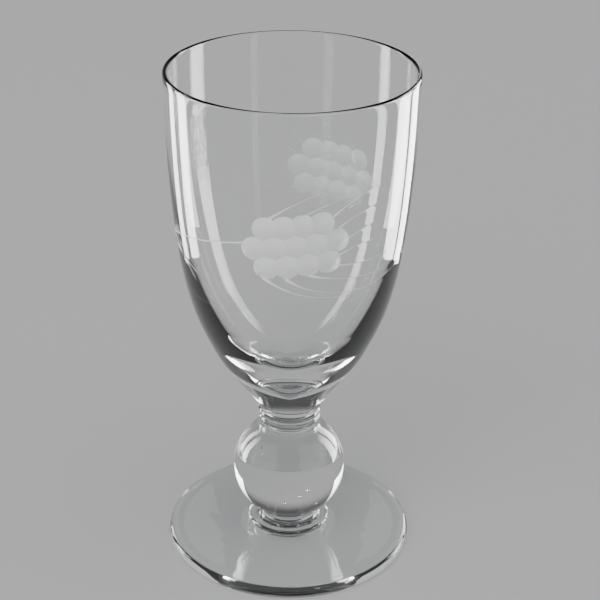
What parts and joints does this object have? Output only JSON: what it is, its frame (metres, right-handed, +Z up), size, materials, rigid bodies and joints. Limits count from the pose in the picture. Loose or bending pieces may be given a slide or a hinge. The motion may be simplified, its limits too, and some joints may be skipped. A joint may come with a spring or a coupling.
{
  "type": "wine glass",
  "caption": "Clear stemmed drinking glass: tapered goblet bowl with a cut barley-ear pattern, ringed neck, solid ball stem, round collar and flat foot.",
  "frame": {"origin": "centre of the foot's underside, on the surface that the glass stands on", "axes": "+Z up along the glass's axis towards the rim; +X and +Y level, the cut barley ear faces -Y"},
  "size_m": [0.0714, 0.0714, 0.145],
  "materials": {
    "bowl_glass": "clear colourless blown glass, fire-polished rim, matt wheel-cut barley ears",
    "stem_glass": "clear solid glass with a few tiny seeds, fire-polished",
    "foot_glass": "clear glass with faint swirl marks from shaping, fire-polished round edge"
  },
  "bodies": {
    "root": {"bowl": "bowl_glass", "neck_ring": "stem_glass", "ball_knop": "stem_glass", "collar": "stem_glass", "foot": "foot_glass"}
  },
  "joints": []
}
